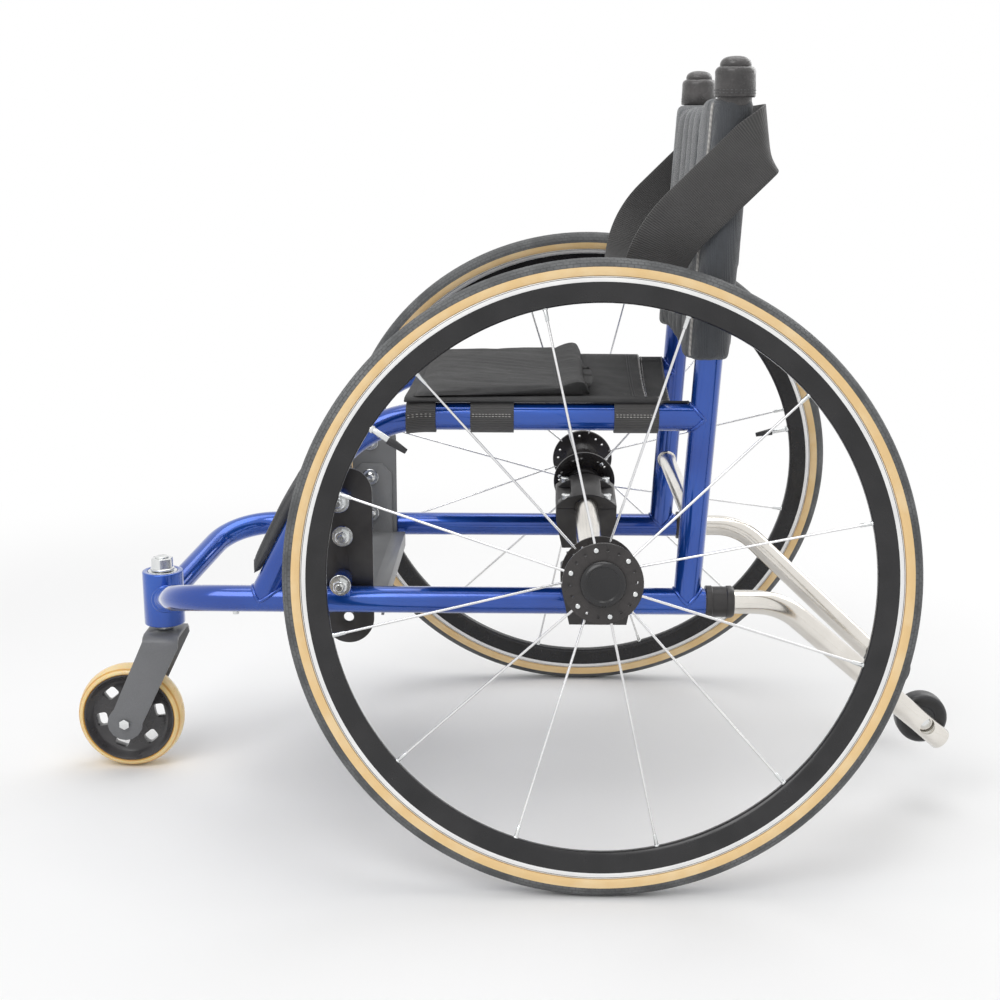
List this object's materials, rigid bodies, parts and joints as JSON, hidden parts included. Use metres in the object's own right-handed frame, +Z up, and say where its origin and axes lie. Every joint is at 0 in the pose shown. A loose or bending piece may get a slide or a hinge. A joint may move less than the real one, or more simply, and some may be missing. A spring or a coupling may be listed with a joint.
{
  "type": "active wheelchair",
  "caption": "Rigid-frame active wheelchair with cambered spoked drive wheels, one front caster, folded foot plate, sling seat, low padded back with belt and anti-tip wheels behind.",
  "frame": {"origin": "on the floor, at the centre of the bounding box", "axes": "+X to the rear of the chair, +Y to its right, +Z up; the chair faces -X"},
  "size_m": [1.022, 0.6716, 0.824],
  "materials": {
    "blue_paint": "glossy candy paint",
    "polished_aluminium": "polished",
    "black_aluminium": "black anodised",
    "tyre": "matt tread, tan side wall",
    "gloss_black": "gloss black",
    "grey_coat": "satin powder coat",
    "rubber": "satin",
    "amber": "translucent amber",
    "steel": "zinc plated",
    "cloth": "woven nylon",
    "webbing": "ribbed webbing",
    "leather": "satin"
  },
  "bodies": {
    "frame": {"anti_tip_bolt_left": "steel", "anti_tip_bolt_right": "steel", "anti_tip_tube_left": "polished_aluminium", "anti_tip_tube_right": "polished_aluminium", "axle_clamp_cap_left": "black_aluminium", "axle_clamp_cap_right": "black_aluminium", "axle_clamp_left": "black_aluminium", "axle_clamp_right": "black_aluminium", "axle_pin_left": "steel", "axle_pin_right": "steel", "axle_tube": "polished_aluminium", "back_post_left": "blue_paint", "back_post_right": "blue_paint", "back_upholstery": "cloth", "belt": "webbing", "brace_tube": "polished_aluminium", "caster_bearing_lower": "steel", "caster_bearing_upper": "steel", "caster_housing": "blue_paint", "foot_bolt_low_left": "steel", "foot_bolt_low_right": "steel", "foot_bolt_mid_left": "steel", "foot_bolt_mid_right": "steel", "foot_bolt_top_left": "steel", "foot_bolt_top_right": "steel", "footrest": "grey_coat", "footrest_plate_left": "black_aluminium", "footrest_plate_right": "black_aluminium", "leg_strap": "cloth", "lower_rail_left": "blue_paint", "lower_rail_right": "blue_paint", "post_cap_left": "leather", "post_cap_right": "leather", "rail_collar_left": "black_aluminium", "rail_collar_right": "black_aluminium", "seat_pad": "cloth", "seat_rail_left": "blue_paint", "seat_rail_right": "blue_paint", "seat_rear_panel": "cloth", "seat_sling": "cloth", "seat_strap_front": "webbing", "seat_strap_middle": "webbing", "seat_strap_rear": "webbing"},
    "drive_wheel_left": {"tyre_left": "tyre", "rim_left": "gloss_black", "spoked_hub_left": "black_aluminium", "hub_cap_left": "gloss_black"},
    "anti_tip_wheel_left": {"anti_tip_wheel_left": "rubber"},
    "drive_wheel_right": {"tyre_right": "tyre", "rim_right": "gloss_black", "spoked_hub_right": "black_aluminium", "hub_cap_right": "gloss_black"},
    "anti_tip_wheel_right": {"anti_tip_wheel_right": "rubber"},
    "caster_fork": {"caster_fork": "grey_coat", "caster_stem": "steel", "stem_nut": "steel", "caster_axle_bolt": "steel"},
    "caster_wheel": {"caster_hub": "black_aluminium", "caster_tyre": "amber"}
  },
  "joints": [
    {"name": "drive_wheel_spin_left", "type": "hinge", "parent": "frame", "child": "drive_wheel_left", "pos_m": [0.10603, -0.27, 0.31496], "axis": [0, -0.9848, 0.1736], "continuous": true},
    {"name": "drive_wheel_spin_right", "type": "hinge", "parent": "frame", "child": "drive_wheel_right", "pos_m": [0.10603, 0.27, 0.31496], "axis": [0, 0.9848, 0.1736], "continuous": true},
    {"name": "caster_swivel", "type": "hinge", "parent": "frame", "child": "caster_fork", "pos_m": [-0.40097, 0, 0.2], "axis": [0, 0, 1], "continuous": true},
    {"name": "caster_wheel_spin", "type": "hinge", "parent": "caster_fork", "child": "caster_wheel", "pos_m": [-0.44697, 0, 0.064], "axis": [0, 1, 0], "continuous": true},
    {"name": "anti_tip_spin_left", "type": "hinge", "parent": "frame", "child": "anti_tip_wheel_left", "pos_m": [0.48217, -0.08542, 0.10231], "axis": [0, 1, 0], "continuous": true},
    {"name": "anti_tip_spin_right", "type": "hinge", "parent": "frame", "child": "anti_tip_wheel_right", "pos_m": [0.48217, 0.08542, 0.10231], "axis": [0, 1, 0], "continuous": true}
  ]
}
